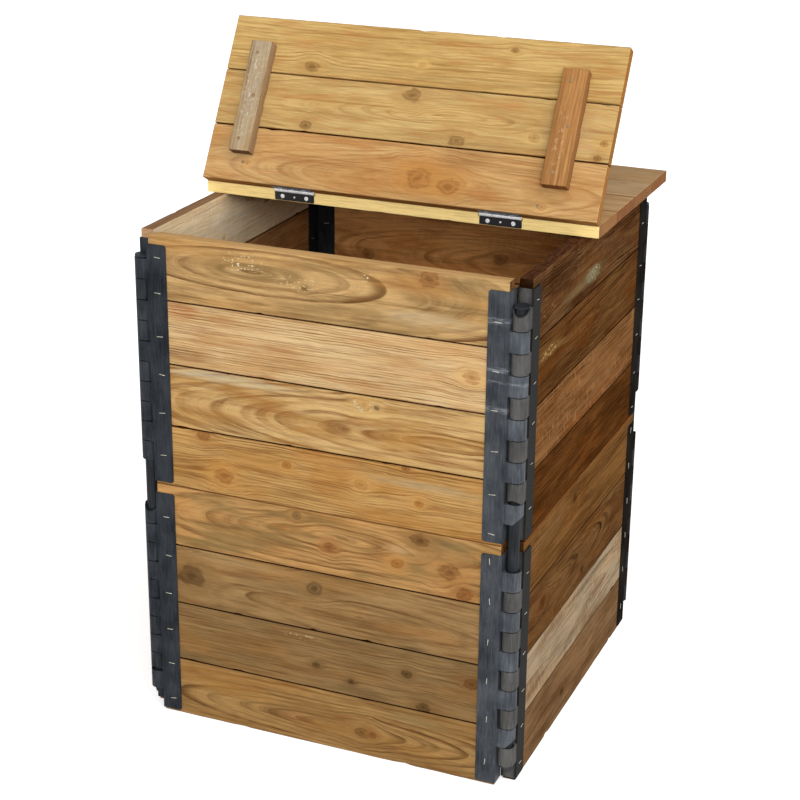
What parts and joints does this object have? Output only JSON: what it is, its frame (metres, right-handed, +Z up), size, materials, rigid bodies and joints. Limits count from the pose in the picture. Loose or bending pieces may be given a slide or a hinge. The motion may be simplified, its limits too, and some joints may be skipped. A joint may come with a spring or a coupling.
{
  "type": "compost bin",
  "caption": "Garden compost bin of stacked timber boards, held at the corners by knuckled plastic profiles and rods, with a lift-off lid whose front half hinges open.",
  "frame": {"origin": "middle of the box round the bin and its lid, on the ground", "axes": "+Z up, the front of the bin faces -Y, +X is to the right seen from the front"},
  "size_m": [0.634, 0.6162, 1.0348],
  "materials": {
    "front_boards": "sawn softwood, honey brown, weathered",
    "right_boards": "sawn softwood, dark reddish brown",
    "rear_boards": "sawn softwood, brown",
    "left_boards": "sawn softwood, grey brown",
    "corner_profiles": "moulded, matte, dark blue grey",
    "corner_rods": "moulded, ribbed, dark grey",
    "lid_boards": "sawn softwood, golden",
    "zinc_steel": "zinc plated"
  },
  "bodies": {
    "bin": {"lower_front_board_1": "front_boards", "lower_front_board_2": "front_boards", "lower_front_board_3": "front_boards", "lower_front_board_4": "front_boards", "upper_front_board_1": "front_boards", "upper_front_board_2": "front_boards", "upper_front_board_3": "front_boards", "upper_front_board_4": "front_boards", "lower_right_board_1": "right_boards", "lower_right_board_2": "right_boards", "lower_right_board_3": "right_boards", "lower_right_board_4": "right_boards", "upper_right_board_1": "right_boards", "upper_right_board_2": "right_boards", "upper_right_board_3": "right_boards", "upper_right_board_4": "right_boards", "lower_rear_board_1": "rear_boards", "lower_rear_board_2": "rear_boards", "lower_rear_board_3": "rear_boards", "lower_rear_board_4": "rear_boards", "upper_rear_board_1": "rear_boards", "upper_rear_board_2": "rear_boards", "upper_rear_board_3": "rear_boards", "upper_rear_board_4": "rear_boards", "lower_left_board_1": "left_boards", "lower_left_board_2": "left_boards", "lower_left_board_3": "left_boards", "lower_left_board_4": "left_boards", "upper_left_board_1": "left_boards", "upper_left_board_2": "left_boards", "upper_left_board_3": "left_boards", "upper_left_board_4": "left_boards", "lower_front_left_profile": "corner_profiles", "lower_front_right_profile": "corner_profiles", "lower_right_left_profile": "corner_profiles", "lower_right_right_profile": "corner_profiles", "lower_rear_left_profile": "corner_profiles", "lower_rear_right_profile": "corner_profiles", "lower_left_left_profile": "corner_profiles", "lower_left_right_profile": "corner_profiles", "upper_front_left_profile": "corner_profiles", "upper_front_right_profile": "corner_profiles", "upper_right_left_profile": "corner_profiles", "upper_right_right_profile": "corner_profiles", "upper_rear_left_profile": "corner_profiles", "upper_rear_right_profile": "corner_profiles", "upper_left_left_profile": "corner_profiles", "upper_left_right_profile": "corner_profiles", "front_left_rod": "corner_rods", "front_right_rod": "corner_rods", "rear_right_rod": "corner_rods", "rear_left_rod": "corner_rods"},
    "lid_rear": {"lid_rear_panel": "lid_boards", "left_hinge_fixed_plate": "zinc_steel", "right_hinge_fixed_plate": "zinc_steel", "left_hinge_pin": "zinc_steel", "right_hinge_pin": "zinc_steel"},
    "flap": {"flap_panel": "lid_boards", "left_hinge_flap_plate": "zinc_steel", "right_hinge_flap_plate": "zinc_steel"}
  },
  "joints": [
    {"name": "lid_lift", "type": "slide", "parent": "bin", "child": "lid_rear", "axis": [0, 0, 1], "range_m": [0, 0.1]},
    {"name": "flap_hinge", "type": "hinge", "parent": "lid_rear", "child": "flap", "pos_m": [0, -0.05935, 0.7961], "axis": [1, 0, 0], "range_deg": [0, 119.9]}
  ]
}
